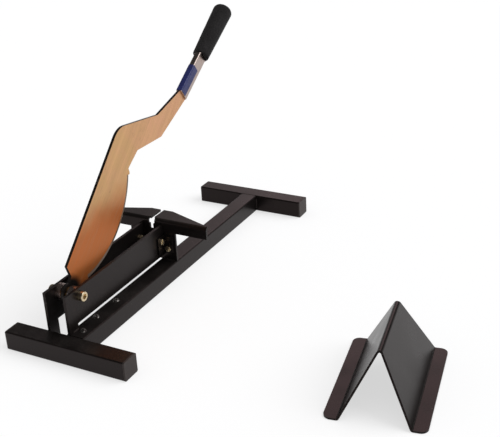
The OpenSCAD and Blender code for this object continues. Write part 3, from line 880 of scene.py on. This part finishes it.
class CUTTER_OT_stage(Operator):
    """Lay the floor and set the light and the camera"""

    bl_idname = "cutter.stage"
    bl_label = "Stage"

    def execute(self, context):
        stage = shared(context)[3]
        scene = context.scene
        scene.view_settings.view_transform = "Standard"
        self.lay_floor(scene, stage)
        self.light_world(scene, stage)
        self.hang_key(scene, stage)
        self.set_camera(scene, stage)
        return {"FINISHED"}

    def seen(self, nodes):
        """One for rays that show the background: straight, mirrored or through glass."""
        straight = nodes.add("ShaderNodeLightPath", out="Is Camera Ray")
        mirrored = nodes.add("ShaderNodeLightPath", out="Is Glossy Ray")
        through = nodes.add("ShaderNodeLightPath", out="Is Transmission Ray")
        return straight.either(mirrored).either(through)

    def lay_floor(self, scene, stage):
        """A matt floor that keeps the object's shadow and is lifted to white as it is seen."""
        cells = 8
        shape = bmesh.new()
        bmesh.ops.create_grid(shape, x_segments=cells, y_segments=cells, size=stage.floor_size / 2)
        mesh = bpy.data.meshes.new("floor")
        shape.to_mesh(mesh)
        shape.free()
        floor = bpy.data.objects.new("floor", mesh)
        floor.location.z = -stage.floor_drop
        scene.collection.objects.link(floor)
        made = bpy.data.materials.new("pale_floor")
        made.use_nodes = True
        nodes = Nodes(made.node_tree)
        matt = nodes.add("ShaderNodeBsdfDiffuse", {}, {"Color": full(stage.floor)})
        lit = nodes.add("ShaderNodeEmission", {}, {"Strength": self.seen(nodes) * stage.lift})
        both = nodes.add("ShaderNodeAddShader", {}, {0: matt, 1: lit})
        nodes.add("ShaderNodeOutputMaterial", {}, {"Surface": both})
        mesh.materials.append(made)

    def light_world(self, scene, stage):
        """Even light from all round; gloss mirrors a white room with a dark ceiling and a round lamp."""
        white = (1.0, 1.0, 1.0)
        world = bpy.data.worlds.new("soft_room")
        world.use_nodes = True
        scene.world = world
        nodes = Nodes(world.node_tree)
        aim = nodes.add("ShaderNodeTexCoord", out="Generated")
        rise = nodes.add("ShaderNodeSeparateXYZ", {}, {0: aim}, out="Z")
        high = nodes.ramp(rise, math.sin(stage.bright_to), math.sin(stage.dark_from))
        level = Vector((-math.sin(stage.lamp_turn), math.cos(stage.lamp_turn), 0.0))
        lamp = math.cos(stage.lamp_height) * level + Vector((0.0, 0.0, math.sin(stage.lamp_height)))
        dot = {"operation": "DOT_PRODUCT"}
        towards = nodes.add("ShaderNodeVectorMath", dot, {0: aim, 1: lamp}, out="Value")
        glow = nodes.ramp(towards, math.cos(stage.lamp_rim), math.cos(stage.lamp_core))
        mirrored = nodes.add("ShaderNodeLightPath", out="Is Glossy Ray")
        even = stage.ambient + (1.0 - stage.ambient) * self.seen(nodes)
        overhead = stage.ceiling + (stage.lamp - stage.ceiling) * glow
        strength = even + (overhead - 1.0) * high * mirrored
        tone = nodes.mix(glow * high * mirrored, white, stage.lamp_tint)
        lit = nodes.add("ShaderNodeBackground", {}, {"Color": tone, "Strength": strength})
        nodes.add("ShaderNodeOutputWorld", {}, {"Surface": lit})

    def hang_key(self, scene, stage):
        """One wide soft light from the right."""
        light = bpy.data.lights.new("key_light", "SUN")
        light.energy = stage.key
        light.angle = stage.key_width
        lamp = bpy.data.objects.new("key_light", light)
        lamp.rotation_mode = "QUATERNION"
        lamp.rotation_quaternion = (-Vector(stage.key_from)).to_track_quat("-Z", "Y")
        scene.collection.objects.link(lamp)

    def set_camera(self, scene, stage):
        """The camera at the photograph's viewing angle."""
        data = bpy.data.cameras.new("camera")
        data.lens = stage.lens
        data.sensor_width = stage.sensor
        data.sensor_fit = "HORIZONTAL"
        camera = bpy.data.objects.new("camera", data)
        turn = Matrix.Rotation(stage.camera_turn, 4, "Z")
        dip = Matrix.Rotation(math.pi / 2 - stage.camera_dip, 4, "X")
        roll = Matrix.Rotation(stage.camera_roll, 4, "Z")
        camera.matrix_world = Matrix.Translation(stage.camera_at) @ turn @ dip @ roll
        scene.collection.objects.link(camera)
        scene.camera = camera


# Add-on

PIECES = (
    CUTTER_OT_base_tubes, CUTTER_OT_end_caps, CUTTER_OT_plates, CUTTER_OT_welds, CUTTER_OT_fasteners,
    CUTTER_OT_pivot_bearing, CUTTER_OT_blade, CUTTER_OT_handle, CUTTER_OT_grip, CUTTER_OT_board_support,
    CUTTER_OT_stage,
)
GROUPS = {
    "cutter_colours": CutterColours, "cutter_edges": CutterEdges, "cutter_lever": CutterLever,
    "cutter_stage": CutterStage,
}


class CUTTER_PT_sidebar(Panel):
    """Lists the cutter's settings and its pieces"""

    bl_idname = "CUTTER_PT_sidebar"
    bl_label = "Flooring cutter"
    bl_space_type = "VIEW_3D"
    bl_region_type = "UI"
    bl_category = "Cutter"

    def draw(self, context):
        for name, group in GROUPS.items():
            box = self.layout.box()
            box.label(text=group.__doc__)
            for setting in group.__annotations__:
                box.prop(getattr(context.scene, name), setting)
        for piece in PIECES:
            self.layout.operator(piece.bl_idname)


def register():
    for group in GROUPS.values():
        bpy.utils.register_class(group)
    for name, group in GROUPS.items():
        setattr(bpy.types.Scene, name, PointerProperty(type=group))
    for piece in PIECES:
        bpy.utils.register_class(piece)
    bpy.utils.register_class(CUTTER_PT_sidebar)


def unregister():
    bpy.utils.unregister_class(CUTTER_PT_sidebar)
    for piece in reversed(PIECES):
        bpy.utils.unregister_class(piece)
    for name, group in GROUPS.items():
        delattr(bpy.types.Scene, name)
        bpy.utils.unregister_class(group)


def main():
    register()
    for piece in PIECES:
        group, name = piece.bl_idname.split(".")
        getattr(getattr(bpy.ops, group), name)()


if __name__ == "__main__":
    main()
